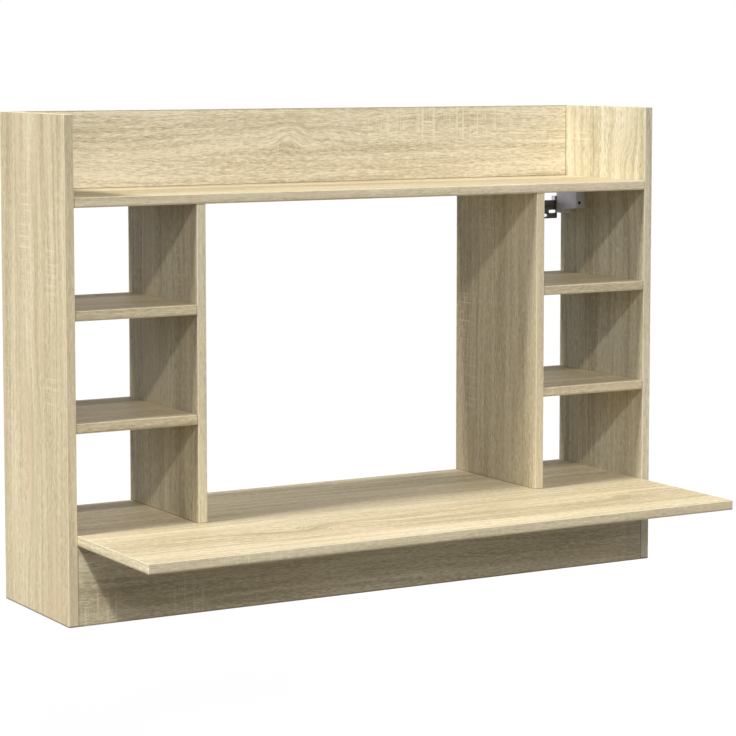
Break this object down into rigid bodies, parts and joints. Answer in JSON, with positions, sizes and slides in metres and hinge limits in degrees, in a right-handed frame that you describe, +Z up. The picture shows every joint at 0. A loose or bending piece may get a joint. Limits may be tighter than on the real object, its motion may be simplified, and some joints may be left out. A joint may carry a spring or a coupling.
{
  "type": "wall desk",
  "caption": "Wall-hung desk of oak-decor boards: side bays with small shelves, a top shelf with a back panel, a desk board reaching forward, and adjustable cabinet hangers.",
  "frame": {"origin": "on the wall plane, midway between the outer slots of the two wall plates, at the height of those slots", "axes": "+X to the right along the desk, +Y into the wall (the front faces -Y), +Z up"},
  "size_m": [1.06, 0.49, 0.76],
  "materials": {
    "oak_board": "matte oak decor",
    "beech_dowel": "raw fluted beech",
    "zinc_plated_steel": "bright zinc plate",
    "zinc_casting": "raw zinc casting",
    "cap_plastic": "matte oak colour",
    "grey_housing": "satin light grey",
    "dark_plate": "dark phosphated steel",
    "black_screw": "black oxide"
  },
  "bodies": {
    "desk": {"left_side_panel": "oak_board", "right_side_panel": "oak_board", "top_shelf": "oak_board", "upper_back_panel": "oak_board", "left_divider": "oak_board", "right_divider": "oak_board", "desk_board": "oak_board", "front_apron": "oak_board", "left_upper_shelf": "oak_board", "left_lower_shelf": "oak_board", "right_upper_shelf": "oak_board", "right_lower_shelf": "oak_board", "dowels": "beech_dowel", "cam_bolts": "zinc_plated_steel", "cam_locks": "zinc_casting", "divider_screws": "zinc_plated_steel", "screw_caps": "cap_plastic", "left_hanger_housing": "grey_housing", "right_hanger_housing": "grey_housing"},
    "left_carriage": {"left_hanger_carriage": "zinc_plated_steel"},
    "left_depth_screw": {"left_depth_screw": "black_screw"},
    "left_hook": {"left_hanger_hook": "zinc_plated_steel", "left_wall_plate": "dark_plate"},
    "left_height_screw": {"left_height_screw": "black_screw"},
    "right_carriage": {"right_hanger_carriage": "zinc_plated_steel"},
    "right_depth_screw": {"right_depth_screw": "black_screw"},
    "right_hook": {"right_hanger_hook": "zinc_plated_steel", "right_wall_plate": "dark_plate"},
    "right_height_screw": {"right_height_screw": "black_screw"}
  },
  "joints": [
    {"name": "left_depth_slide", "type": "slide", "parent": "desk", "child": "left_carriage", "axis": [0, 1, 0], "range_m": [0, 0.012]},
    {"name": "left_depth_screw_turn", "type": "hinge", "parent": "desk", "child": "left_depth_screw", "pos_m": [-0.505, -0.07, 0.018], "axis": [0, 1, 0], "range_deg": [-6180, 5]},
    {"name": "left_height_slide", "type": "slide", "parent": "left_carriage", "child": "left_hook", "axis": [0, 0, 1], "range_m": [-0.004, 0.01]},
    {"name": "left_height_screw_turn", "type": "hinge", "parent": "left_carriage", "child": "left_height_screw", "pos_m": [-0.511, -0.025, 0.01], "axis": [0, 0, 1], "range_deg": [-5150, 2065]},
    {"name": "right_depth_slide", "type": "slide", "parent": "desk", "child": "right_carriage", "axis": [0, 1, 0], "range_m": [0, 0.012]},
    {"name": "right_depth_screw_turn", "type": "hinge", "parent": "desk", "child": "right_depth_screw", "pos_m": [0.505, -0.07, 0.018], "axis": [0, 1, 0], "range_deg": [-6180, 5]},
    {"name": "right_height_slide", "type": "slide", "parent": "right_carriage", "child": "right_hook", "axis": [0, 0, 1], "range_m": [-0.004, 0.01]},
    {"name": "right_height_screw_turn", "type": "hinge", "parent": "right_carriage", "child": "right_height_screw", "pos_m": [0.511, -0.025, 0.01], "axis": [0, 0, 1], "range_deg": [-5150, 2065]}
  ],
  "couplings": [
    {"joint": "left_depth_screw_turn", "follows": "left_depth_slide", "rad_per_m": -8976},
    {"joint": "left_height_screw_turn", "follows": "left_height_slide", "rad_per_m": -8976},
    {"joint": "right_depth_screw_turn", "follows": "right_depth_slide", "rad_per_m": -8976},
    {"joint": "right_height_screw_turn", "follows": "right_height_slide", "rad_per_m": -8976}
  ]
}
